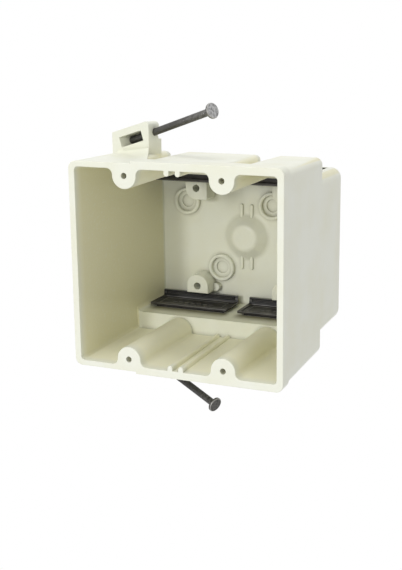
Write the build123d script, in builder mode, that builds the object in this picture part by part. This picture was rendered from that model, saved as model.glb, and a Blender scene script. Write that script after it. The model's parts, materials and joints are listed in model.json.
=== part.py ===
from build123d import *
import os

# A two-gang nail-on wall box: one ivory moulding with four black cable clamps and two nails.
# Millimetres. X runs to the right across the mouth, Y runs back into the wall and Z runs up.
# The origin is the middle of the four device screw holes, in the plane of the mouth, Y = 0.

# Shell, outside
box_width = 101.6
box_depth = 88.9
mouth_half_height = 47.2
side_draft = 0.027
height_draft = 0.023
front_depth = 57.0
rear_half_height = 37.7
rear_height_draft = 0.015
front_corner = 3.4
rear_corner = 5.0
front_rear_round = 3.0
back_round = 3.6
rim_round = 0.3

# Plaster band, along top and bottom from a little left of the middle to the right edge
band_half_height = 48.15
band_depth = 8.0
band_left = -19.7

# Shell, inside
inner_half_width = 47.8
inner_half_height = 44.7
inner_draft = 0.02
inner_step_depth = 54.6
ledge_half_height = 35.35
ledge_draft = 0.009
inner_depth = 86.5
inner_front_corner = 1.8
inner_rear_corner = 3.2

# Device screw lugs at the mouth, and the half-round bulges that they run back into
gang_spacing = 46.04
screw_spacing = 83.34
lug_radius = 5.8
lug_flare = 2.8
bulge_radius = 6.6
bulge_centre = 42.6
bulge_flare = 0.8
screw_hole_radius = 1.4
screw_hole_depth = 16.0

# Channels in the outside of the bulges, open at the rear of the front part
channel_start = 19.0
channel_start_radius = 3.9
channel_start_centre = 42.3
channel_end_radius = 4.6
channel_end_centre = 43.0
channel_flare = 2.2

# Divider ribs on floor and ceiling
divider_offset = 2.65
divider_radius = 1.2
divider_height = 2.4

# Back wall: four raised rings with a deeper core, a blunt cone in the middle, short ribs
ring_radius = 6.9
ring_inner_radius = 5.3
ring_core_radius = 3.3
ring_height = 2.3
ring_draft = 0.15
ring_edge = 0.4
ring_core_depth = 1.0
ring_offset_x = 9.4
ring_offset_z = 16.6
cone_base_radius = 11.6
cone_top_radius = 6.3
cone_height = 5.0
cone_top_round = 2.6
cone_base_round = 3.5
cone_wall = 2.5
short_rib_offset = 2.65
short_rib_width = 1.5
short_rib_height = 1.1
short_rib_length = 7.0
short_rib_centre = 13.2
short_rib_round = 0.45

# Rear screw bosses, flat towards the clamps
rear_boss_face = 75.6
rear_boss_radius = 5.8
rear_boss_spacing = 50.1
rear_boss_flat = 28.7
rear_boss_hole_radius = 1.85
rear_boss_hole_depth = 9.4
rear_boss_round = 0.5
corner_round = 1.0
lobe_radius = 2.0
lobe_offset_x = 6.9
lobe_height = 3.6

# Cable openings in the ledges, each with a round seat that its clamp pivots in
clamp_centre = 23.8
opening_length = 37.6
opening_front = 67.3
pivot_depth = 83.4
pivot_height = 35.8
seat_radius = 1.35

# Cable clamps: the upper two hang a little open under their own weight
clamp_droop = 10.5
clamp_length = 41.6
clamp_front = 65.5
clamp_rear = 82.4
clamp_panel = 33.4
clamp_underside = 34.1
clamp_border = 1.6
clamp_border_height = 0.5
clamp_block_bottom = 36.7
clamp_block_gap = 0.5
clamp_root_radius = 1.05
lip_top = 29.8
lip_thickness = 1.3
lip_slope = 0.3
lip_frame = 0.8
lip_recess = 0.4

# Nails, held slanting: the head towards the front, the point towards the box
nail_length = 63.5
nail_radius = 1.665
nail_head_radius = 3.55
nail_head_thickness = 1.3
nail_point_length = 5.0
nail_point_width = 0.6
nail_head_place = Vector(7.9, 26.8, 68.3)
nail_direction = Vector(-0.885, 0.361, -0.2965).normalized()

# Nail brackets, measured along the nail from its head and across it
bracket_start = 36.0
bracket_front = 14.0
bracket_bottom = 16.0
bracket_base = 43.2
bracket_top = 5.3
hook_rear = 3.7
block_rear = 4.3
hook_round = 2.4
block_round = 0.9
end_round = 1.6
plate_left = 41.6
plate_right = 37.3
plate_right_x = -29.3
end_rear_x = -26.9
end_rear = 45.3
nail_clearance = 0.08
slot_length = 8.0
slot_mouth_start = 1.8
slot_mouth_low = 3.1
window_start = 44.35
window_length = 13.5
window_low = 2.8
window_high = 2.1
window_rear = 1.9
nub_start = 52.4
nub_length = 2.4
nub_drop = 0.35

# Feet of the brackets, hollow-curved, widening towards the right
foot_left = -47.6
foot_right = -20.4
foot_left_front = 39.0
foot_middle = -28.2
foot_front = 17.2
foot_left_height = 46.9
foot_height = 49.6
foot_rear = 42.5

gang_places = (-gang_spacing / 2, gang_spacing / 2)
sides = (1, -1)
overrun = 1.0


def across(depth):
    """The plane across the box at a depth, with X to the right and Z up."""
    return Plane.XZ.offset(-depth)


def drafted(depth, at_mouth, draft):
    """A half width or height that shrinks evenly towards the back."""
    return at_mouth - draft * depth


def between(start, end, depth, end_depth):
    """A value that changes evenly from the mouth to an end depth."""
    return start + (end - start) * depth / end_depth


def box_section(depth, half_width, half_height, corner):
    """A rounded rectangle across the box at a depth."""
    with BuildSketch(across(depth)) as section:
        RectangleRounded(2 * half_width, 2 * half_height, corner)
    return section.sketch


def tongue_section(depth, middle, side, wall, centre, radius, flare):
    """A round-ended tongue that reaches in from the wall, with flared shoulders."""
    shoulder = radius + flare
    root = side * wall
    neck = side * (wall - flare)
    tip = side * centre
    crown = side * (centre - radius)
    outside = side * (wall + 4)
    bend = flare * (1 - 0.5**0.5)
    knee = side * (wall - bend)
    with BuildSketch(across(depth)) as section:
        with BuildLine():
            Polyline((middle + shoulder, root), (middle + shoulder, outside),
                     (middle - shoulder, outside), (middle - shoulder, root))
            ThreePointArc((middle - shoulder, root), (middle - radius - bend, knee), (middle - radius, neck))
            Line((middle - radius, neck), (middle - radius, tip))
            ThreePointArc((middle - radius, tip), (middle, crown), (middle + radius, tip))
            Line((middle + radius, tip), (middle + radius, neck))
            ThreePointArc((middle + radius, neck), (middle + radius + bend, knee), (middle + shoulder, root))
        make_face()
    return section.sketch


def bulge_section(depth, middle, side):
    """The section of a screw lug, or of its bulge further back."""
    wall = drafted(depth, inner_half_height, inner_draft)
    centre = between(screw_spacing / 2, bulge_centre, depth, inner_step_depth)
    radius = between(lug_radius, bulge_radius, depth, inner_step_depth)
    flare = between(lug_flare, bulge_flare, depth, inner_step_depth)
    return tongue_section(depth, middle, side, wall, centre, radius, flare)


def channel_section(depth, middle, side, centre, radius):
    """The section of an outside channel."""
    wall = drafted(depth, mouth_half_height, height_draft)
    return tongue_section(depth, middle, side, wall, centre, radius, channel_flare)


def plate_depth(x):
    """The depth of the bracket's slanting plate at a place across the box."""
    run = (x + box_width / 2) / (plate_right_x + box_width / 2)
    return plate_left + (plate_right - plate_left) * run


def nail_plane(side, distance):
    """The plane across a nail at a distance from its head, looking back along the nail."""
    back = Vector(nail_direction.X, nail_direction.Y, side * nail_direction.Z) * -1
    place = Vector(nail_head_place.X, nail_head_place.Y, side * nail_head_place.Z) - back * distance
    rearward = Vector(-back.Y, back.X, 0).normalized()
    return Plane(origin=place, x_dir=rearward, z_dir=back)


# The hollow of the front part: bulges and divider ribs are left standing in it
with BuildPart() as front_hollow:
    loft([
        box_section(depth, drafted(depth, inner_half_width, inner_draft),
                    drafted(depth, inner_half_height, inner_draft), inner_front_corner)
        for depth in (-overrun, inner_step_depth)
    ])
    for middle in gang_places:
        for side in sides:
            loft([bulge_section(depth, middle, side) for depth in (-overrun, inner_step_depth + overrun)],
                 mode=Mode.SUBTRACT)
    divider_tip = inner_half_height - divider_height + divider_radius
    with BuildSketch(across(-overrun)):
        with GridLocations(2 * divider_offset, 2 * divider_tip, 2, 2):
            Circle(divider_radius)
        with GridLocations(2 * divider_offset, 2 * (divider_tip + divider_height), 2, 2):
            Rectangle(2 * divider_radius, 2 * divider_height)
    extrude(amount=-(inner_step_depth + 2 * overrun), mode=Mode.SUBTRACT)

# The hollow of the rear part, between the two ledges
rear_hollow_start = inner_step_depth - 3
with BuildPart() as rear_hollow:
    loft([
        box_section(depth, drafted(depth, inner_half_width, inner_draft),
                    drafted(depth - inner_step_depth, ledge_half_height, ledge_draft), inner_rear_corner)
        for depth in (rear_hollow_start, inner_depth)
    ])

# The plaster band, cut off square at its left end
with BuildPart() as plaster_band:
    loft([
        box_section(depth, drafted(depth, box_width / 2, side_draft), band_half_height, front_corner)
        for depth in (0, band_depth)
    ])
    split(bisect_by=Plane.YZ.offset(band_left), keep=Keep.TOP)

# The upper nail bracket: a hook over the nail and a block under it, behind a slanting plate
slot_radius = nail_radius + nail_clearance
with BuildPart() as nail_bracket:
    with BuildSketch(nail_plane(1, bracket_start)):
        with BuildLine():
            Polyline((-bracket_front, -bracket_bottom), (block_rear, -bracket_bottom), (block_rear, 0),
                     (hook_rear, 0), (hook_rear, bracket_top), (-bracket_front, bracket_top), close=True)
        make_face()
        fillet(vertices().sort_by_distance((hook_rear, bracket_top))[0], hook_round)
        Circle(slot_radius, mode=Mode.SUBTRACT)
    extrude(amount=-bracket_front * 3)
    with BuildSketch(nail_plane(1, bracket_start)):
        with Locations((block_rear / 2, 0)):
            Rectangle(block_rear, 2 * slot_radius)
        with Locations((slot_mouth_start, -slot_mouth_low)):
            Rectangle(block_rear, slot_mouth_low, align=Align.MIN)
        fillet(vertices().sort_by_distance((slot_mouth_start, -slot_mouth_low))[0], block_round)
    extrude(amount=-slot_length, mode=Mode.SUBTRACT)
    with BuildSketch(nail_plane(1, window_start)):
        with Locations((window_rear, window_high)):
            Rectangle(2 * bracket_front, window_low + window_high, align=Align.MAX)
    extrude(amount=-window_length, mode=Mode.SUBTRACT)
    with BuildSketch(nail_plane(1, nub_start)):
        with BuildLine():
            Polyline((0, window_high), (window_rear, window_high), (window_rear, window_high - nub_drop),
                     (window_rear / 3, window_high - nub_drop), close=True)
        make_face()
    extrude(amount=-nub_length)
    with BuildSketch(Plane.XY.offset(bracket_base)):
        with BuildLine():
            Polyline((-box_width / 2, plate_left), (plate_right_x, plate_right), (end_rear_x, end_rear),
                     (end_rear_x, front_depth), (-box_width / 2, front_depth), close=True)
        make_face()
    extrude(amount=bracket_base, mode=Mode.INTERSECT)
    end_top = (end_rear_x, end_rear, 2 * bracket_base)
    fillet(edges().filter_by(GeomType.LINE).sort_by_distance(end_top)[0], end_round)

# The foot in front of the upper bracket, with a hollow-curved top
foot_floor = bracket_base + 1
with BuildPart() as bracket_foot:
    for place, front, height in ((foot_left, foot_left_front, foot_left_height),
                                 (foot_middle, foot_front, foot_height),
                                 (foot_right, foot_front, foot_height)):
        surface = drafted(front, mouth_half_height, height_draft)
        with BuildSketch(Plane.YZ.offset(place)):
            with BuildLine():
                Polyline((front, surface), (front, foot_floor), (foot_rear, foot_floor), (foot_rear, height),
                         (plate_depth(place), height))
                ThreePointArc((plate_depth(place), height),
                              (0.68 * plate_depth(place) + 0.32 * front, 0.74 * surface + 0.26 * height),
                              (front, surface))
            make_face()
    loft(ruled=True)
    with BuildSketch(Plane.XY.offset(foot_floor)):
        with BuildLine():
            Polyline((foot_left, 0), (foot_right, 0), (foot_right, foot_front), (plate_right_x, plate_right),
                     (plate_right_x, front_depth), (foot_left, front_depth), close=True)
        make_face()
    extrude(amount=bracket_base, mode=Mode.INTERSECT)

# One ring of the back wall
ring_front = inner_depth - ring_height
with BuildPart() as wall_ring:
    with BuildSketch(Plane.XY):
        with BuildLine():
            Polyline((ring_inner_radius, ring_front), (ring_radius, ring_front),
                     (ring_radius + ring_draft, inner_depth + overrun),
                     (ring_inner_radius - ring_draft, inner_depth + overrun), close=True)
        make_face()
        chamfer(vertices().group_by(Axis.Y)[0], ring_edge)
    revolve(axis=Axis.Y)

# The blunt cone in the middle of the back wall, and the hollow behind it
cone_front = inner_depth - cone_height
with BuildPart() as wall_cone:
    with BuildSketch(Plane.XY):
        with BuildLine():
            Polyline((0, cone_front), (cone_top_radius, cone_front), (cone_base_radius, inner_depth),
                     (cone_base_radius + cone_base_round, inner_depth),
                     (cone_base_radius + cone_base_round, inner_depth + overrun), (0, inner_depth + overrun),
                     close=True)
        make_face()
        fillet(vertices().sort_by_distance((cone_top_radius, cone_front))[0], cone_top_round)
        fillet(vertices().sort_by_distance((cone_base_radius, inner_depth))[0], cone_base_round)
    revolve(axis=Axis.Y)
hollow_front = cone_front + cone_wall
hollow_top_radius = cone_top_radius - cone_wall / 2
hollow_base_radius = cone_base_radius - cone_wall
with BuildPart() as cone_hollow:
    with BuildSketch(Plane.XY):
        with BuildLine():
            Polyline((0, hollow_front), (hollow_top_radius, hollow_front), (hollow_base_radius, box_depth),
                     (hollow_base_radius, box_depth + overrun), (0, box_depth + overrun), close=True)
        make_face()
        fillet(vertices().sort_by_distance((hollow_top_radius, hollow_front))[0], cone_top_round / 2)
    revolve(axis=Axis.Y)

# One short rib of the back wall
with BuildPart() as short_rib:
    with BuildSketch(across(inner_depth + overrun)):
        SlotOverall(short_rib_length, short_rib_width, rotation=90)
    extrude(amount=short_rib_height + overrun)
    fillet(faces().sort_by(Axis.Y)[0].edges(), short_rib_round)

# The rear screw bosses: the lower with a low lobe at its root, the upper with one square corner
boss_reach = rear_boss_flat - rear_boss_spacing / 2
boss_length = inner_depth + overrun - rear_boss_face
with BuildPart() as lower_boss:
    with BuildSketch(across(inner_depth + overrun)):
        Circle(rear_boss_radius)
        with Locations((0, -boss_reach)):
            Rectangle(2 * rear_boss_radius, boss_reach, align=(Align.CENTER, Align.MIN))
            Rectangle(3 * rear_boss_radius, rear_boss_radius, align=(Align.CENTER, Align.MAX),
                      mode=Mode.SUBTRACT)
    extrude(amount=boss_length)
    fillet(faces().sort_by(Axis.Y)[0].edges(), rear_boss_round)
    with BuildSketch(across(inner_depth + overrun)):
        with Locations((lobe_offset_x, lobe_radius - boss_reach)):
            Circle(lobe_radius)
            Rectangle(lobe_offset_x, 2 * lobe_radius, align=(Align.MAX, Align.CENTER))
    extrude(amount=lobe_height + overrun)
with BuildPart() as upper_boss:
    with BuildSketch(across(inner_depth + overrun)):
        Circle(rear_boss_radius)
        Rectangle(2 * rear_boss_radius, boss_reach, align=(Align.CENTER, Align.MIN))
        Rectangle(rear_boss_radius, rear_boss_radius, align=(Align.MIN, Align.MAX))
        with Locations((0, boss_reach)):
            Rectangle(3 * rear_boss_radius, rear_boss_radius, align=(Align.CENTER, Align.MIN),
                      mode=Mode.SUBTRACT)
        fillet(vertices().sort_by_distance((rear_boss_radius, -rear_boss_radius))[0], corner_round)
    extrude(amount=boss_length)
    fillet(faces().sort_by(Axis.Y)[0].edges(), rear_boss_round)

with BuildPart() as box_body:
    # Front part, rounded at its rear edge
    loft([
        box_section(depth, drafted(depth, box_width / 2, side_draft),
                    drafted(depth, mouth_half_height, height_draft), front_corner)
        for depth in (0, front_depth)
    ])
    fillet(faces().sort_by(Axis.Y)[-1].edges(), front_rear_round)

    # Rear part, flush with the front part at the sides and stepped in above and below
    loft([
        box_section(depth, drafted(depth, box_width / 2, side_draft),
                    drafted(depth - front_depth, rear_half_height, rear_height_draft), rear_corner)
        for depth in (rear_hollow_start, box_depth)
    ])
    fillet(faces().sort_by(Axis.Y)[-1].edges(), back_round)

    # Channels behind the screw lugs
    for middle in gang_places:
        for side in sides:
            loft([
                channel_section(channel_start, middle, side, channel_start_centre, channel_start_radius),
                channel_section(front_depth + overrun, middle, side, channel_end_centre, channel_end_radius),
            ], mode=Mode.SUBTRACT)

    # Band, brackets with their feet, and hollows
    add(plaster_band.part)
    add(nail_bracket.part)
    mirror(nail_bracket.part, about=Plane.XY)
    add(bracket_foot.part)
    mirror(bracket_foot.part, about=Plane.XY)
    add(front_hollow.part, mode=Mode.SUBTRACT)
    add(rear_hollow.part, mode=Mode.SUBTRACT)

    # Rounded rim of the mouth
    fillet(edges().filter_by_position(Axis.Y, -0.01, 0.01), rim_round)

    # Holes for the device screws
    with BuildSketch(across(0)):
        with GridLocations(gang_spacing, screw_spacing, 2, 2):
            Circle(screw_hole_radius)
    extrude(amount=-screw_hole_depth, mode=Mode.SUBTRACT)

    # Rear screw bosses and their holes
    for middle in gang_places:
        with Locations((middle, 0, -rear_boss_spacing / 2)):
            add(lower_boss.part)
        with Locations((middle, 0, rear_boss_spacing / 2)):
            add(upper_boss.part)
    with BuildSketch(across(rear_boss_face)):
        with GridLocations(gang_spacing, rear_boss_spacing, 2, 2):
            Circle(rear_boss_hole_radius)
    extrude(amount=-rear_boss_hole_depth, mode=Mode.SUBTRACT)

    # Rings, two to each gang, and their cores
    ring_places = [
        (middle - side * ring_offset_x, side * ring_offset_z) for middle in gang_places for side in sides
    ]
    for place, height in ring_places:
        with Locations((place, 0, height)):
            add(wall_ring.part)
    with BuildSketch(across(inner_depth)):
        with Locations(*ring_places):
            Circle(ring_core_radius)
    extrude(amount=-ring_core_depth, mode=Mode.SUBTRACT)

    # Cone and short ribs
    add(wall_cone.part)
    add(cone_hollow.part, mode=Mode.SUBTRACT)
    for place in (-short_rib_offset, short_rib_offset):
        for side in sides:
            with Locations((place, 0, side * short_rib_centre)):
                add(short_rib.part)

    # Cable openings through the ledges, with their pivot seats
    for side in sides:
        with BuildSketch(Plane.XY.offset(side * (ledge_half_height - 2))):
            with Locations((0, (opening_front + pivot_depth) / 2)):
                with GridLocations(2 * clamp_centre, 1, 2, 1):
                    Rectangle(opening_length, pivot_depth - opening_front)
        extrude(amount=side * 6, mode=Mode.SUBTRACT)
        for gang in (-clamp_centre, clamp_centre):
            with BuildSketch(Plane.YZ.offset(gang - opening_length / 2)):
                with Locations((pivot_depth, side * pivot_height)):
                    Circle(seat_radius)
            extrude(amount=opening_length, mode=Mode.SUBTRACT)

# One cable clamp, drawn shut under the middle of the lower ledge
with BuildPart() as clamp_blank:
    clamp_middle = (clamp_front + clamp_rear) / 2
    clamp_width = clamp_rear - clamp_front
    with BuildSketch(Plane.XY.offset(-clamp_underside)):
        with Locations((0, clamp_middle)):
            Rectangle(clamp_length, clamp_width)
    extrude(amount=clamp_underside - clamp_panel)
    with BuildSketch(Plane.XY.offset(-clamp_panel)):
        with Locations((0, clamp_middle)):
            Rectangle(clamp_length, clamp_width)
            Rectangle(clamp_length - 2 * clamp_border, clamp_width - 2 * clamp_border, mode=Mode.SUBTRACT)
    extrude(amount=clamp_border_height)

    # Upright lip at the rear, with a sunk panel in its front face
    lip_bottom = clamp_panel - clamp_border_height
    with BuildSketch(across(clamp_rear)):
        with BuildLine():
            Polyline((-clamp_length / 2, -clamp_panel), (clamp_length / 2, -clamp_panel),
                     (clamp_length / 2 - lip_slope, -lip_top), (-clamp_length / 2 + lip_slope, -lip_top),
                     close=True)
        make_face()
    extrude(amount=lip_thickness)
    with BuildSketch(across(clamp_rear - lip_thickness)):
        with Locations((0, -(lip_top + lip_bottom) / 2)):
            Rectangle(clamp_length - 4 * lip_frame, lip_bottom - lip_top - 2 * lip_frame)
    extrude(amount=-lip_recess, mode=Mode.SUBTRACT)

    # Block that fills the cable opening, ending in the round root
    block_length = opening_length - 2 * clamp_block_gap
    block_front = opening_front + clamp_block_gap
    block_rear_end = pivot_depth - seat_radius
    with BuildSketch(Plane.YZ.offset(-block_length / 2)):
        with BuildLine():
            Polyline((block_front, -clamp_underside), (block_front, -clamp_block_bottom),
                     (block_rear_end, -clamp_block_bottom), (block_rear_end, -clamp_underside), close=True)
        make_face()
        with Locations((pivot_depth, -pivot_height)):
            Circle(clamp_root_radius)
            Rectangle(2 * seat_radius, 2 * clamp_root_radius, align=(Align.MAX, Align.CENTER))
    extrude(amount=block_length)

# The same clamp with its pivot at the origin, shut and hanging
with BuildPart() as shut_clamp:
    with Locations((0, -pivot_depth, pivot_height)):
        add(clamp_blank.part)
with BuildPart() as hanging_clamp:
    add(shut_clamp.part, rotation=(-clamp_droop, 0, 0))

os.makedirs("parts", exist_ok=True)

box_body.part.label = "box_body"
export_step(box_body.part, "parts/box_body.step")

clamp_places = {
    "clamp_bottom_left": (shut_clamp, -clamp_centre, -pivot_height, 0),
    "clamp_bottom_right": (shut_clamp, clamp_centre, -pivot_height, 0),
    "clamp_top_left": (hanging_clamp, -clamp_centre, pivot_height, 180),
    "clamp_top_right": (hanging_clamp, clamp_centre, pivot_height, 180),
}
for name, (clamp_form, place, height, turn) in clamp_places.items():
    with BuildPart() as clamp:
        with Locations((place, pivot_depth, height)):
            add(clamp_form.part, rotation=(0, turn, 0))
    clamp.part.label = name
    export_step(clamp.part, "parts/" + name + ".step")

for name, side in {"nail_top": 1, "nail_bottom": -1}.items():
    with BuildPart() as nail:
        with BuildSketch(nail_plane(side, 0)):
            Circle(nail_head_radius)
        extrude(amount=-nail_head_thickness)
        with BuildSketch(nail_plane(side, 0)):
            Circle(nail_radius)
        extrude(amount=-(nail_length - nail_point_length))
        with BuildSketch(nail_plane(side, nail_length - nail_point_length)) as point_root:
            RectangleRounded(2 * nail_radius, 2 * nail_radius, nail_radius * 0.98)
        with BuildSketch(nail_plane(side, nail_length)) as point_tip:
            RectangleRounded(nail_point_width, nail_point_width, nail_point_width * 0.3)
        loft([point_root.sketch, point_tip.sketch])
    nail.part.label = name
    export_step(nail.part, "parts/" + name + ".step")
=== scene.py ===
"""Dresses a two-gang nail-on wall box: ivory moulding, black cable clamps and steel nails."""

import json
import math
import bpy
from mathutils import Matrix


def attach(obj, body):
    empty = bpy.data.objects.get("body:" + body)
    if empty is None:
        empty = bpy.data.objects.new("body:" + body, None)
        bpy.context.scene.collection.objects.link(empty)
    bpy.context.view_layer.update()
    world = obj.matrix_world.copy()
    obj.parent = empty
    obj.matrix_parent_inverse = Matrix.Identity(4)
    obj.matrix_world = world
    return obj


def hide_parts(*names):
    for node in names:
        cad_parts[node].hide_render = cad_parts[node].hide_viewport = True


bl_info = {
    "name": "Switch Box Finish",
    "version": (1, 0, 0),
    "blender": (4, 5, 0),
    "location": "View3D > Sidebar > Switch Box",
    "description": "Models and finishes the pieces of a two-gang nail-on wall box",
    "category": "Object",
}

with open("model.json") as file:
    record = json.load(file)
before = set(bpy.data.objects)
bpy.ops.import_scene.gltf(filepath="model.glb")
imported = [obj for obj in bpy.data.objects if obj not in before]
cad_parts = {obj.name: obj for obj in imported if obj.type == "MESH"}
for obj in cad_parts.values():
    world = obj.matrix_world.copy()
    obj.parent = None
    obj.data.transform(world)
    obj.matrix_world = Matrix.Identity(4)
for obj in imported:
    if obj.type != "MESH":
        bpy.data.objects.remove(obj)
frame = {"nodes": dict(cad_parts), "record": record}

import bmesh
import bpy
from bpy.props import FloatProperty, FloatVectorProperty, PointerProperty
from mathutils import Quaternion, Vector

MM = 0.001
X, Y, Z = range(3)
JOINTS = {joint["child"]: joint for joint in frame["record"]["behaviour"]["joints"]}
SMOOTH_ANGLE = math.radians(32)

# Zones of the ivory moulding, in millimetres from the middle planes of the box. Each pair says
# where a zone begins to show and where it shows fully.
SIDE_DRAFT = 0.018
INNER_WIDTH = (49.6, 49.1)
INNER_HEIGHT = (46.2, 45.6)
INNER_DEPTH = ((0.8, 6.0), (86.0, 84.0))
SIDE_WALLS = (46.4, 47.1)
INNER_FLOORS = (54.4, 53.0)
SHADED_WIDTH = (45.6, 44.8)
# Painted shade in corners: how far it reaches and how far out from the middle it may go
SHADE_REACH = 2.2
# Painted shadow on the ledges just in front of the clamps: its depth, height and width
LEDGE_SHADOW_DEPTH = ((58.5, 65.0), (68.0, 66.0))
LEDGE_SHADOW_HEIGHT = ((34.2, 34.6), (36.4, 36.0))
LEDGE_SHADOW_WIDTH = ((46.4, 43.0), (2.0, 5.0))

# Looks of the ivory plastic. A noise has a scale per metre, its detail and its roughness. A range
# of noise says where it begins to show and where it shows fully. A tint scales a colour. A bump
# has a strength and a height in millimetres.
CLOUDS = (55, 3, 0.5)
FLECKS = (900, 2, 0.6)
GRAIN = (3200, 2, 0.5)
WAVES = (120, 1, 0.5)
CLOUD_RANGE = (0.35, 0.65)
FLECK_RANGE = (0.56, 0.7)
# Painted shade in corners: how open a spot is where the shade begins and where it is full
CORNER_RANGE = (0.97, 0.45)
WARM_TINT = (0.975, 0.965, 0.915)
PALE_TINT = (1.035, 1.035, 1.035)
# Painted shade: the colour scale for the shade in corners and the shadow before the clamps
PAINTED_SHADE_TINT = (0.3, 0.27, 0.18)
FLECK_SHARE = 0.35
# Painted shadow: how dark the shadow before the clamps gets
LEDGE_SHADOW_SHARE = 0.85
CLOUD_ROUGHNESS = 0.14
FLECK_ROUGHNESS = -0.06
COARSE_BUMP = (0.25, 0.4)
FINE_BUMP = (0.18, 0.06)
FLECK_BUMP = 0.6

# Cable clamps, in millimetres from the pivot as they lie shut on the lower ledge. The upper two
# are turned the other way up and hang a little open. Their angles are in degrees.
CLAMP_DROOP = 10.5
CLAMP_TURNS = {
    "clamp_bottom_left": (0.0, 0.0), "clamp_bottom_right": (0.0, 0.0),
    "clamp_top_left": (-CLAMP_DROOP, 180.0), "clamp_top_right": (-CLAMP_DROOP, 180.0),
}
CLAMP_PIVOT_DEPTH = 83.4
CLAMP_PIVOT_HEIGHT = 35.8
CLAMP_EDGE = 0.22
CLAMP_SHARP = math.radians(35)
MERGE_DISTANCE = 0.001
FLAT_ANGLE = math.radians(1)
RIDGE_SIZE = (37.2, 0.45, 0.28)
RIDGE_PLACES = ((0.0, -1.97, 4.1), (0.0, -1.97, 4.8))
BAR_SIZE = (2.3, 0.6, 0.5)
BAR_COUNT = 7
BAR_START = (-9.9, -11.6, 2.4)
BAR_PITCH = 3.3
FRAME_BARS = (
    ((34.0, 0.4, 0.44), (0.0, -15.0, 2.4)),
    ((34.0, 0.4, 0.44), (0.0, -5.2, 2.4)),
    ((0.4, 9.4, 0.44), (-16.8, -10.1, 2.4)),
    ((0.4, 9.4, 0.44), (16.8, -10.1, 2.4)),
)
DETAIL_EDGE = 0.1

# Zones of a clamp, in millimetres in front of its pivot and above it
PLATE_FRONT = (2.2, 2.6)
FRAME_TOPS = ((2.5, 2.56), (2.76, 2.7))
RIDGE_FRONTS = ((2.02, 2.1), (2.4, 2.3))
RIDGE_HEIGHTS = ((3.9, 3.95), (5.02, 4.97))
LIP_TOP = (5.7, 5.85)

# Looks of the black plastic: a tint scales the colour and a lift is added to it
MARKS = (160, 4, 0.5)
MARK_RANGE = (0.36, 0.66)
BLACK_GRAIN = (2600, 2, 0.5)
# Marks: random paler, glossier patches, partly handling marks and partly a painted sheen
MARK_AND_SHEEN_TINT = 2.2
MARK_AND_SHEEN_LIFT = 0.004
# Painted shade: how much darker the lip is than the plate
LIP_SHADE = 0.25
# Painted highlight: the tint and lift that pale the raised lines and the lip's top
HIGHLIGHT_TINT = 3.0
HIGHLIGHT_LIFT = 0.12
RIDGE_SHARE = 0.45
LIP_TOP_SHARE = 0.7
BLACK_ROUGHNESS = 0.5
MARK_ROUGHNESS = -0.18
BLACK_SHEEN = 0.4
BLACK_BUMP = (0.25, 0.06)

# Nails, in millimetres: the head's top is at zero and the tip at minus the length. The head's
# outline is a list of heights and radii.
NAIL_LENGTH = 63.5
NAIL_RADIUS = 1.665
NAIL_SIDES = 32
NAIL_POINT = 5.0
NAIL_TIP = 0.3
NAIL_HEAD = (
    (-1.75, 1.665), (-1.5, 1.8), (-1.32, 2.2), (-1.28, 3.3), (-1.12, 3.5), (-0.9, 3.55),
    (-0.38, 3.55), (-0.16, 3.44), (-0.04, 3.2), (0.0, 2.85), (-0.05, 2.1), (-0.05, 0.9),
)
# Painted light: the upper nail's head and shade are paler and the lower nail's darker, standing in
# for the light from above
NAILS = {
    "nail_top": {
        "place": (7.9, 26.8, 68.3), "spin": 0.0, "head": (0.34, 0.34, 0.34), "shade": 1.22},
    "nail_bottom": {
        "place": (7.9, 26.8, -68.3), "spin": 90.0, "head": (0.085, 0.083, 0.077), "shade": 0.65},
}
GRIP_START = -3.6
GRIP_PITCH = 1.05
GRIP_COUNT = 15
GRIP_HALF_WIDTH = 0.3
GRIP_DEPTH = 0.17
GRIP_SPREAD = math.radians(48)
POINT_TOLERANCE = 0.01

# Zones of a nail, in millimetres below the top of its head and away from its middle
HEAD_DEPTH = (0.3, 0.2)
RIM_DEPTH = (0.42, 0.34)
RIM_RADIUS = (3.1, 3.25)
# The shaft is paler towards the head, from 24 mm below its top to fully at 2 mm
NEAR_HEAD_DEPTH = (24.0, 2.0)

# Looks of the nails: each pair of tints lies between the darkest and the palest of a noise
MOTTLE = (420, 5, 0.65)
PATCHES = (900, 3, 0.6)
PATCH_RANGE = (0.38, 0.62)
SCRATCHES = (1900, 2, 0.5)
DRAWN_TINTS = (0.5, 1.2)
NEAR_HEAD_TINTS = (0.9, 2.1)
HEAD_PATCH_TINTS = (0.6, 1.45)
# Painted highlight: how much paler the rim of the head is, and how strongly it shows
RIM_HIGHLIGHT_TINT = 5.0
RIM_HIGHLIGHT_SHARE = 0.75
STEEL_ROUGHNESS = 0.34
MOTTLE_ROUGHNESS = 0.3
STEEL_METALLIC = 0.8
STEEL_BUMP = (0.3, 0.05)

# Stage, in metres: each lamp has a place and a size
FLOOR_SIZE = 12
FLOOR_HEIGHT = -0.32
FLOOR_COLOUR = (0.9, 0.9, 0.9, 1.0)
FLOOR_ROUGHNESS = 0.9
LAMPS = {
    "front": ((0.05, -1.45, 0.5), 0.7),
    "side": ((-0.25, -1.35, 0.34), 0.12),
    "top": ((0.0, -0.1, 1.5), 0.7),
}
LAMP_TARGET = (0.0, 0.03, 0.0)
SENSOR_WIDTH = 36
NEAREST_SEEN = 0.01


# Materials

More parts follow.
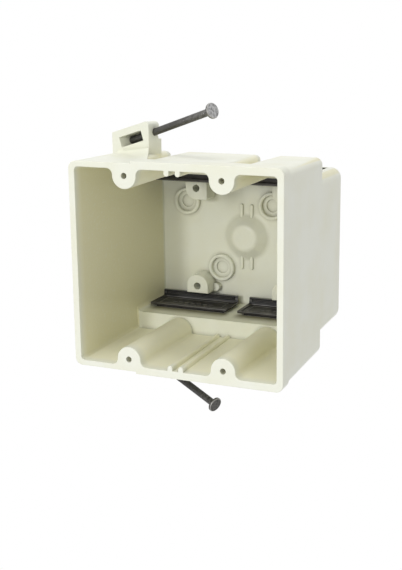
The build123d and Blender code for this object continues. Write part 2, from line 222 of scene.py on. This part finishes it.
class Value:
    """One socket of a material, so that shader maths reads as an expression."""

    def __init__(self, tree, socket=None):
        self.tree = tree
        self.socket = socket

    def node(self, kind, settings=None, sockets=None, output=0):
        """Adds a node, applies its settings, fills its sockets and returns one of its outputs."""
        added = self.tree.nodes.new(kind)
        for name, setting in (settings or {}).items():
            setattr(added, name, setting)
        for name, content in (sockets or {}).items():
            if isinstance(content, Value):
                self.tree.links.new(content.socket, added.inputs[name])
            else:
                added.inputs[name].default_value = content
        return Value(self.tree, added.outputs[output])

    def maths(self, operation, first, second=0.0):
        """A sum on two numbers."""
        return self.node("ShaderNodeMath", {"operation": operation}, {0: first, 1: second})

    def vector_maths(self, operation, *vectors, output=0):
        """A sum on one vector or two."""
        settings = {"operation": operation}
        return self.node("ShaderNodeVectorMath", settings, dict(enumerate(vectors)), output)

    def noise(self, place, look):
        """A noise of a scale, a detail and a roughness."""
        scale, detail, roughness = look
        return self.node("ShaderNodeTexNoise", {}, {
            "Vector": place, "Scale": scale, "Detail": detail, "Roughness": roughness,
        })

    def bump(self, look, height, **sockets):
        """A bumpy normal of a strength and a distance in millimetres."""
        strength, distance = look
        sockets.update({"Strength": strength, "Distance": distance * MM, "Height": height})
        return self.node("ShaderNodeBump", {}, sockets)

    def blend(self, factor, first, second):
        """A colour between two colours."""
        mix = self.node("ShaderNodeMix", {"data_type": "RGBA"}, {"Factor": factor}, output=2)
        colour_sockets = [socket for socket in mix.socket.node.inputs if socket.type == "RGBA"]
        for socket, content in zip(colour_sockets, (first, second)):
            if isinstance(content, Value):
                self.tree.links.new(content.socket, socket)
            else:
                socket.default_value = content
        return mix

    def __add__(self, other):
        return self.maths("ADD", self, other)

    def __radd__(self, other):
        return self.maths("ADD", other, self)

    def __sub__(self, other):
        return self.maths("SUBTRACT", self, other)

    def __rsub__(self, other):
        return self.maths("SUBTRACT", other, self)

    def __mul__(self, other):
        return self.maths("MULTIPLY", self, other)

    def __rmul__(self, other):
        return self.maths("MULTIPLY", other, self)


def new_material(name):
    """A material with a Principled shader: returns both and a value to build on."""
    material = bpy.data.materials.new(name)
    material.use_nodes = True
    tree = material.node_tree
    shader = next(node for node in tree.nodes if node.type == "BSDF_PRINCIPLED")
    return material, shader, Value(tree)


def connect(value, shader, socket):
    """Lets a value drive a socket of a shader."""
    value.tree.links.new(value.socket, shader.inputs[socket])


def ramp(value, low, high):
    """Zero at low, one at high, and straight in between."""
    return value.node("ShaderNodeMapRange", {}, {
        "Value": value, "From Min": low, "From Max": high, "To Min": 0.0, "To Max": 1.0,
    })


def zone(value, *limits):
    """One where a distance lies past every pair of limits in millimetres, and zero before them."""
    return math.prod(ramp(value, low * MM, high * MM) for low, high in limits)


def along(place, axis):
    """How far a point is along X, Y or Z."""
    return place.node("ShaderNodeSeparateXYZ", {}, {0: place}, output=axis)


def distance_from_middle(place, axis):
    """How far a point is from the middle of the box, along X, Y or Z."""
    distance = along(place, axis)
    return distance.maths("ABSOLUTE", distance)


def paint(colour, scale=(1.0, 1.0, 1.0), lift=0.0):
    """A full colour for a socket: each channel scaled, then lifted, and never above one."""
    return tuple(min(1.0, channel * part + lift) for channel, part in zip(colour, scale)) + (1.0,)


def grey(scale):
    """The same scale for all three channels of a colour."""
    return (scale, scale, scale)


def ivory_plastic(look):
    """Moulded ivory plastic with faint clouding, flecks and a satin skin, painted light inside and
    painted shade in corners and before the clamps.
    """
    material, shader, start = new_material("ivory_plastic")
    place = start.node("ShaderNodeTexCoord", output="Object")
    depth = distance_from_middle(place, Y)
    height = distance_from_middle(place, Z)
    aside = distance_from_middle(place, X) + SIDE_DRAFT * depth
    inside = zone(aside, INNER_WIDTH) * zone(height, INNER_HEIGHT) * zone(depth, *INNER_DEPTH)
    walls = zone(aside, SIDE_WALLS)
    floors = inside * zone(depth, INNER_FLOORS)
    # The inner side walls and the front of the inner floor and ceiling, where light is painted
    light_painted_chamber = inside * walls.maths("MAXIMUM", walls, floors)

    clouds, flecks, grain, waves = (start.noise(place, each)
                                    for each in (CLOUDS, FLECKS, GRAIN, WAVES))
    base = start.blend(ramp(clouds, *CLOUD_RANGE), paint(look.ivory), paint(look.ivory, WARM_TINT))
    # Painted light: the inner floor and ceiling are paler, standing in for brighter light on them
    base = start.blend(floors, base, paint(look.light_painted_floor))
    # Painted light: the inner side walls are warmer and darker, standing in for light bounced
    # inside the box
    base = start.blend(inside * walls, base, paint(look.light_painted_chamber))
    shown_flecks = ramp(flecks, *FLECK_RANGE) * FLECK_SHARE
    base = start.blend(shown_flecks, base, paint(look.ivory, PALE_TINT))

    # Painted shade: spots near other faces are darkened, as shade falls in corners and grooves, but
    # not on the inner walls and floors
    reach = {"Distance": SHADE_REACH * MM}
    openness = start.node("ShaderNodeAmbientOcclusion", {"samples": 8}, reach, output="AO")
    corners = ramp(openness, *CORNER_RANGE) * look.painted_shade * (1 - light_painted_chamber) * zone(aside, SHADED_WIDTH)
    # Painted shadow: a strip on each ledge just in front of the clamps is darkened as if in their
    # shadow
    ledge_shadow = (zone(depth, *LEDGE_SHADOW_DEPTH) * zone(height, *LEDGE_SHADOW_HEIGHT)
              * zone(aside, *LEDGE_SHADOW_WIDTH) * LEDGE_SHADOW_SHARE)
    painted_shade = corners.maths("MAXIMUM", corners, ledge_shadow)
    connect(start.blend(painted_shade, base, paint(look.ivory, PAINTED_SHADE_TINT)), shader, "Base Color")

    roughness = look.ivory_roughness + CLOUD_ROUGHNESS * clouds + FLECK_ROUGHNESS * flecks
    connect(roughness, shader, "Roughness")
    coarse = start.bump(COARSE_BUMP, waves)
    connect(start.bump(FINE_BUMP, grain + FLECK_BUMP * flecks, Normal=coarse), shader, "Normal")
    return material


def clamp_place(place):
    """How far a point lies before its clamp's pivot and above it, as if the clamp were shut."""
    droop = math.radians(CLAMP_DROOP)
    upper = ramp(along(place, Z), -MM, MM)
    sine = upper * math.sin(droop)
    cosine = 1 - upper * (1 - math.cos(droop))
    fore = CLAMP_PIVOT_DEPTH * MM - distance_from_middle(place, Y)
    rise = CLAMP_PIVOT_HEIGHT * MM - distance_from_middle(place, Z)
    return fore * cosine + rise * sine, rise * cosine - fore * sine


def black_plastic(look):
    """Moulded black plastic with a slight sheen and pale marks, partly a painted sheen, painted
    highlights on its raised lines and painted shade on its lip.
    """
    material, shader, start = new_material("black_plastic")
    place = start.node("ShaderNodeTexCoord", output="Object")
    front, height = clamp_place(place)
    plate = zone(front, PLATE_FRONT)
    # Painted highlights: the tops of the frame and bars, the ridges and the lip's top are paler,
    # where light catches them
    frame_tops = zone(height, *FRAME_TOPS) * plate
    ridge_tops = zone(front, *RIDGE_FRONTS) * zone(height, *RIDGE_HEIGHTS)
    highlighted_lines = frame_tops + RIDGE_SHARE * ridge_tops + LIP_TOP_SHARE * zone(height, LIP_TOP)

    # Random paler patches, partly handling marks and partly a painted sheen
    marks_and_sheen = ramp(start.noise(place, MARKS), *MARK_RANGE)
    grain = start.noise(place, BLACK_GRAIN)
    marks_and_sheen_colour = paint(look.black, grey(MARK_AND_SHEEN_TINT), MARK_AND_SHEEN_LIFT)
    base = start.blend(marks_and_sheen, paint(look.black), marks_and_sheen_colour)
    # Painted shade: the lip, off the plate, is darker than the plate
    base = start.blend(plate, paint(look.black, grey(LIP_SHADE)), base)
    base = start.blend(highlighted_lines, base, paint(look.black, grey(HIGHLIGHT_TINT), HIGHLIGHT_LIFT))
    connect(base, shader, "Base Color")
    connect(BLACK_ROUGHNESS + MARK_ROUGHNESS * marks_and_sheen * plate, shader, "Roughness")
    shader.inputs["Specular IOR Level"].default_value = BLACK_SHEEN
    connect(start.bump(BLACK_BUMP, grain + marks_and_sheen), shader, "Normal")
    return material


def nail_steel(look, name):
    """Drawn steel wire: dull and dark, with mottling, each nail painted paler or darker for the
    light it gets, and a painted highlight on its head's rim.
    """
    nail = NAILS[name]
    material, shader, start = new_material("nail_steel" + name.removeprefix("nail"))
    place = start.node("ShaderNodeTexCoord", output="Object")
    aim = Vector(JOINTS[name]["axis"])
    from_head = start.vector_maths("SUBTRACT", place, Vector(nail["place"]) * MM)
    depth = start.vector_maths("DOT_PRODUCT", from_head, aim, output="Value")
    across = start.vector_maths("CROSS_PRODUCT", from_head, aim)
    radius = start.vector_maths("LENGTH", across, output="Value")
    # Painted highlight: a thin bright ring where the head's top meets its side, where light catches
    # the edge
    rim_highlight = zone(radius, RIM_RADIUS) * zone(depth, RIM_DEPTH) * RIM_HIGHLIGHT_SHARE

    mottle = start.noise(place, MOTTLE)
    patches = ramp(start.noise(place, PATCHES), *PATCH_RANGE)
    scratches = start.noise(place, SCRATCHES)
    # Painted light: each nail's steel is scaled by its shade, and its head has its own painted
    # colour
    steel = Vector(look.steel) * nail["shade"]
    drawn, near_head, painted_head = (
        start.blend(pattern, *(paint(colour, grey(tint)) for tint in tints))
        for pattern, colour, tints in (
            (mottle, steel, DRAWN_TINTS), (patches, steel, NEAR_HEAD_TINTS),
            (patches, nail["head"], HEAD_PATCH_TINTS),
        )
    )
    # The shaft is paler towards the head
    base = start.blend(zone(depth, NEAR_HEAD_DEPTH), drawn, near_head)
    base = start.blend(zone(depth, HEAD_DEPTH), base, painted_head)
    base = start.blend(rim_highlight, base, paint(look.steel, grey(RIM_HIGHLIGHT_TINT)))
    connect(base, shader, "Base Color")
    connect(STEEL_ROUGHNESS + MOTTLE_ROUGHNESS * mottle, shader, "Roughness")
    shader.inputs["Metallic"].default_value = STEEL_METALLIC
    connect(start.bump(STEEL_BUMP, scratches + mottle), shader, "Normal")
    return material


def looked_at(start):
    """One where the camera or a reflection sees a surface, zero where it only gives light."""
    path = start.tree.nodes.new("ShaderNodeLightPath")
    seen, mirrored = (Value(start.tree, path.outputs[kind + " Ray"])
                      for kind in ("Is Camera", "Is Glossy"))
    return start.maths("MAXIMUM", seen, mirrored)


def floor_white(look):
    """A pale floor that the camera sees as white. It only throws light back at the object."""
    material, shader, start = new_material("floor_white")
    shader.inputs["Base Color"].default_value = FLOOR_COLOUR
    shader.inputs["Roughness"].default_value = FLOOR_ROUGHNESS
    links = start.tree.links
    glow = start.tree.nodes.new("ShaderNodeEmission")
    mix = start.tree.nodes.new("ShaderNodeMixShader")
    white = looked_at(start) * look.floor_white
    links.new(white.socket, mix.inputs["Fac"])
    links.new(shader.outputs[0], mix.inputs[1])
    links.new(glow.outputs[0], mix.inputs[2])
    output = next(node for node in start.tree.nodes if node.type == "OUTPUT_MATERIAL")
    links.new(mix.outputs[0], output.inputs["Surface"])
    return material


def cover(piece, material):
    """Gives a piece one material on all its faces."""
    piece.data.materials.clear()
    piece.data.materials.append(material)


# Modelling

def begin(name, height, radius, sides):
    """Starts a piece as a filled circle in edit mode, at a height, with all of it selected."""
    bpy.ops.object.select_all(action="DESELECT")
    bpy.ops.mesh.primitive_circle_add(vertices=sides, radius=radius * MM, fill_type="NGON")
    piece = bpy.context.object
    piece.name = name
    bpy.ops.object.mode_set(mode="EDIT")
    bpy.ops.mesh.select_all(action="SELECT")
    bpy.ops.transform.translate(value=(0, 0, height * MM))
    return piece


def pick_points(piece, test):
    """Selects the points of a piece in edit mode that pass a test of their place in millimetres."""
    bpy.ops.mesh.select_all(action="DESELECT")
    bpy.ops.mesh.select_mode(type="VERT")
    mesh = bmesh.from_edit_mesh(piece.data)
    for point in mesh.verts:
        point.select = test(point.co / MM)
    mesh.select_flush(True)
    bmesh.update_edit_mesh(piece.data)


def grow(profile, height, radius):
    """Extrudes the selected end along a profile of heights and radii in millimetres."""
    for next_height, next_radius in profile:
        step = (0, 0, (next_height - height) * MM)
        bpy.ops.mesh.extrude_region_move(TRANSFORM_OT_translate={"value": step})
        change = next_radius / radius
        centre = (0, 0, next_height * MM)
        bpy.ops.transform.resize(value=(change, change, 1), center_override=centre)
        height, radius = next_height, next_radius


def finish(piece, material, body):
    """Shades a piece, leaves its place in its mesh, covers it and lets it ride on a body."""
    bpy.ops.mesh.select_all(action="SELECT")
    bpy.ops.mesh.normals_make_consistent(inside=False)
    bpy.ops.object.mode_set(mode="OBJECT")
    bpy.ops.object.transform_apply(location=True, rotation=True, scale=True)
    bpy.ops.object.shade_smooth_by_angle(angle=SMOOTH_ANGLE)
    cover(piece, material)
    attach(piece, body)


# Settings

class SwitchBoxLook(bpy.types.PropertyGroup):
    """Colours and light of the wall box."""

    ivory: FloatVectorProperty(
        name="Ivory", description="Colour of the moulding", subtype="COLOR",
        default=(0.838, 0.848, 0.742))
    # Painted light: a warmer, darker colour standing in for bounce light on the inner side walls
    light_painted_chamber: FloatVectorProperty(
        name="Chamber", description="Colour of the inner side walls", subtype="COLOR",
        default=(0.8, 0.77, 0.54))
    # Painted light: a paler colour standing in for brighter light on the inner floor and ceiling
    light_painted_floor: FloatVectorProperty(
        name="Chamber floor", description="Colour of the inner floor and ceiling", subtype="COLOR",
        default=(0.925, 0.905, 0.71))
    # Painted shade: how dark the painted shade makes the inner corners and grooves
    painted_shade: FloatProperty(
        name="Dust", description="How dark dust makes the inner corners and grooves",
        default=0.39, min=0.0, max=1.0)
    ivory_roughness: FloatProperty(
        name="Ivory roughness", description="Roughness of the moulding",
        default=0.35, min=0.0, max=1.0)
    black: FloatVectorProperty(
        name="Black", description="Colour of the cable clamps", subtype="COLOR",
        default=(0.021, 0.0195, 0.0175))
    steel: FloatVectorProperty(
        name="Steel", description="Colour of the nails", subtype="COLOR",
        default=(0.09, 0.088, 0.083))
    floor_white: FloatProperty(
        name="Floor white", description="How white the camera sees the floor",
        default=1.0, min=0.0, max=1.0)
    world_light: FloatProperty(
        name="World light", description="Strength of the even light all round",
        default=0.55, min=0.0)
    front_light: FloatProperty(
        name="Front light", description="Power of the soft lamp in front",
        default=4.0, min=0.0, unit="POWER")
    side_light: FloatProperty(
        name="Side light", description="Power of the crisper lamp at the upper left",
        default=3.7, min=0.0, unit="POWER")
    top_light: FloatProperty(
        name="Top light", description="Power of the soft lamp overhead",
        default=8.4, min=0.0, unit="POWER")


class SwitchBoxView(bpy.types.PropertyGroup):
    """Where the photograph was taken from."""

    place: FloatVectorProperty(
        name="Camera place", description="Where the camera stands", subtype="TRANSLATION",
        unit="LENGTH", default=(0.2036, -0.4226, 0.1113))
    turn: FloatProperty(
        name="Turn", description="How far the camera turns left of straight in", unit="ROTATION",
        default=math.radians(24.26))
    tilt: FloatProperty(
        name="Tilt", description="How far the camera looks down", unit="ROTATION",
        default=math.radians(13.94))
    roll: FloatProperty(
        name="Roll", description="How far the camera leans", unit="ROTATION",
        default=math.radians(-0.71))
    lens: FloatProperty(
        name="Lens", description="Focal length on a 36 mm sensor", default=70.13, min=1.0)


# Operators

class SWITCHBOX_OT_body(bpy.types.Operator):
    """Finish the ivory moulding"""

    bl_idname = "switchbox.body"
    bl_label = "Box moulding"

    def execute(self, context):
        cover(frame["nodes"]["box_body"], ivory_plastic(context.scene.switchbox_look))
        return {"FINISHED"}


class SWITCHBOX_OT_clamps(bpy.types.Operator):
    """Finish the four cable clamps"""

    bl_idname = "switchbox.clamps"
    bl_label = "Cable clamps"

    def execute(self, context):
        material = black_plastic(context.scene.switchbox_look)
        for name, (droop, turn) in CLAMP_TURNS.items():
            details = self.shape_details()
            details.rotation_euler = (math.radians(droop), math.radians(turn), 0)
            details.location = JOINTS[name]["pos_m"]
            bpy.ops.object.transform_apply(location=True, rotation=True, scale=True)
            piece = self.soften(name)
            details.select_set(True)
            bpy.ops.object.join()
            bpy.ops.object.mode_set(mode="EDIT")
            finish(piece, material, name)
            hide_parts(name)
        return {"FINISHED"}

    def shape_details(self):
        """The raised lines of one clamp: a frame and short bars on its plate, ridges on its lip."""
        bar_start = Vector(BAR_START)
        bars = [(BAR_SIZE, bar_start + Vector((BAR_PITCH * number, 0, 0)))
                for number in range(BAR_COUNT)]
        ridges = [(RIDGE_SIZE, place) for place in RIDGE_PLACES]
        bpy.ops.object.select_all(action="DESELECT")
        for number, (size, place) in enumerate([*bars, *ridges, *FRAME_BARS]):
            if number:
                bpy.ops.object.mode_set(mode="EDIT")
                bpy.ops.mesh.select_all(action="DESELECT")
            bpy.ops.mesh.primitive_cube_add(size=MM)
            if not number:
                bpy.ops.object.mode_set(mode="EDIT")
            bpy.ops.transform.resize(value=size, center_override=(0, 0, 0))
            bpy.ops.transform.translate(value=Vector(place) * MM)
            bpy.ops.mesh.bevel(offset=DETAIL_EDGE * MM, segments=1)
            bpy.ops.object.mode_set(mode="OBJECT")
        details = bpy.context.object
        details.name = "clamp_details"
        return details

    def soften(self, name):
        """A merged copy of a clamp's solid with its sharp edges rounded."""
        bpy.ops.object.select_all(action="DESELECT")
        solid = frame["nodes"][name]
        piece = bpy.data.objects.new(name + "_moulding", solid.data.copy())
        bpy.context.scene.collection.objects.link(piece)
        bpy.context.view_layer.objects.active = piece
        piece.select_set(True)
        bpy.ops.object.mode_set(mode="EDIT")
        bpy.ops.mesh.select_all(action="SELECT")
        bpy.ops.mesh.remove_doubles(threshold=MERGE_DISTANCE * MM)
        bpy.ops.mesh.dissolve_limited(angle_limit=FLAT_ANGLE)
        bpy.ops.object.mode_set(mode="OBJECT")
        edges = piece.modifiers.new("edges", "BEVEL")
        edges.width = CLAMP_EDGE * MM
        edges.segments = 2
        edges.limit_method = "ANGLE"
        edges.angle_limit = CLAMP_SHARP
        bpy.ops.object.modifier_apply(modifier=edges.name)
        return piece


class SWITCHBOX_OT_nails(bpy.types.Operator):
    """Finish the two nails"""

    bl_idname = "switchbox.nails"
    bl_label = "Nails"

    def execute(self, context):
        for name, nail in NAILS.items():
            piece = self.shape_nail(name + "_steel")
            aim = Vector(JOINTS[name]["axis"])
            piece.rotation_mode = "QUATERNION"
            spin = Quaternion((0, 0, 1), math.radians(nail["spin"]))
            piece.rotation_quaternion = (-aim).to_track_quat("Z", "Y") @ spin
            piece.location = Vector(nail["place"]) * MM
            finish(piece, nail_steel(context.scene.switchbox_look, name), name)
            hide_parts(name)
        return {"FINISHED"}

    def shape_nail(self, name):
        """A nail, head up: grip marks on two sides, a flared and hammered head, a cut point."""
        piece = begin(name, -NAIL_LENGTH, NAIL_RADIUS, NAIL_SIDES)
        grips = [GRIP_START - GRIP_PITCH * number for number in reversed(range(GRIP_COUNT))]
        steps = (-GRIP_HALF_WIDTH, 0, GRIP_HALF_WIDTH)
        shank = [(grip + step, NAIL_RADIUS) for grip in grips for step in steps]
        grow([*shank, *NAIL_HEAD], -NAIL_LENGTH, NAIL_RADIUS)
        pick_points(piece, lambda point: abs(math.atan2(point.y, abs(point.x))) < GRIP_SPREAD
                    and any(abs(point.z - grip) < POINT_TOLERANCE for grip in grips))
        depth = 1 - GRIP_DEPTH / NAIL_RADIUS
        bpy.ops.transform.resize(value=(depth, depth, 1), center_override=(0, 0, 0))
        for quarter in range(4):
            around = math.radians(45 + 90 * quarter)
            side = Vector((math.cos(around), math.sin(around), 0))
            bpy.ops.mesh.select_all(action="SELECT")
            bpy.ops.mesh.bisect(
                plane_co=(side * NAIL_TIP - Vector((0, 0, NAIL_LENGTH))) * MM,
                plane_no=side * NAIL_POINT - Vector((0, 0, NAIL_RADIUS - NAIL_TIP)),
                use_fill=True, clear_outer=True)
        return piece


class SWITCHBOX_OT_stage(bpy.types.Operator):
    """Add the floor, the lights and the camera"""

    bl_idname = "switchbox.stage"
    bl_label = "Floor, light and camera"

    def execute(self, context):
        look = context.scene.switchbox_look
        view = context.scene.switchbox_view
        self.add_floor(look)
        self.add_light(context, look)
        self.add_camera(context, view)
        return {"FINISHED"}

    def add_floor(self, look):
        bpy.ops.object.select_all(action="DESELECT")
        bpy.ops.mesh.primitive_plane_add(size=FLOOR_SIZE, location=(0, 0, FLOOR_HEIGHT))
        floor = bpy.context.object
        floor.name = "floor"
        cover(floor, floor_white(look))

    def add_light(self, context, look):
        world = bpy.data.worlds.new("studio")
        context.scene.world = world
        world.use_nodes = True
        tree = world.node_tree
        background = next(node for node in tree.nodes if node.type == "BACKGROUND")
        strength = look.world_light + (1.0 - look.world_light) * looked_at(Value(tree))
        tree.links.new(strength.socket, background.inputs["Strength"])
        background.inputs["Color"].default_value = (1.0, 1.0, 1.0, 1.0)
        powers = {"front": look.front_light, "side": look.side_light, "top": look.top_light}
        for name, (place, size) in LAMPS.items():
            bpy.ops.object.light_add(type="AREA", location=place)
            lamp = bpy.context.object
            lamp.name = name
            lamp.data.energy = powers[name]
            lamp.data.size = size
            aim = Vector(LAMP_TARGET) - Vector(place)
            lamp.rotation_mode = "QUATERNION"
            lamp.rotation_quaternion = aim.to_track_quat("-Z", "Y")

    def add_camera(self, context, view):
        bpy.ops.object.camera_add(location=view.place)
        camera = bpy.context.object
        camera.data.sensor_width = SENSOR_WIDTH
        camera.data.lens = view.lens
        camera.data.clip_start = NEAREST_SEEN
        ahead = Vector((
            -math.sin(view.turn) * math.cos(view.tilt),
            math.cos(view.turn) * math.cos(view.tilt),
            -math.sin(view.tilt),
        ))
        camera.rotation_mode = "QUATERNION"
        lean = Quaternion((0, 0, 1), view.roll)
        camera.rotation_quaternion = ahead.to_track_quat("-Z", "Y") @ lean
        context.scene.camera = camera


class SWITCHBOX_PT_panel(bpy.types.Panel):
    """Lists the pieces of the wall box"""

    bl_idname = "SWITCHBOX_PT_panel"
    bl_label = "Switch Box"
    bl_space_type = "VIEW_3D"
    bl_region_type = "UI"
    bl_category = "Switch Box"

    def draw(self, context):
        for settings in (context.scene.switchbox_look, context.scene.switchbox_view):
            for name in settings.__annotations__:
                self.layout.prop(settings, name)
        for step in STEPS:
            self.layout.operator(step.bl_idname)


STEPS = (
    SWITCHBOX_OT_body,
    SWITCHBOX_OT_clamps,
    SWITCHBOX_OT_nails,
    SWITCHBOX_OT_stage,
)
CLASSES = (SwitchBoxLook, SwitchBoxView, *STEPS, SWITCHBOX_PT_panel)


def register():
    for each in CLASSES:
        bpy.utils.register_class(each)
    bpy.types.Scene.switchbox_look = PointerProperty(type=SwitchBoxLook)
    bpy.types.Scene.switchbox_view = PointerProperty(type=SwitchBoxView)


def unregister():
    del bpy.types.Scene.switchbox_view
    del bpy.types.Scene.switchbox_look
    for each in reversed(CLASSES):
        bpy.utils.unregister_class(each)


def main():
    """Registers the settings and steps, then makes every piece."""
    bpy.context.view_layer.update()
    register()
    context = bpy.context
    context.scene.view_settings.view_transform = "Standard"
    for step in STEPS:
        group, name = step.bl_idname.split(".")
        result = getattr(getattr(bpy.ops, group), name)()
        if result != {"FINISHED"}:
            raise RuntimeError(step.bl_label + " was not finished")


if __name__ == "__main__":
    main()
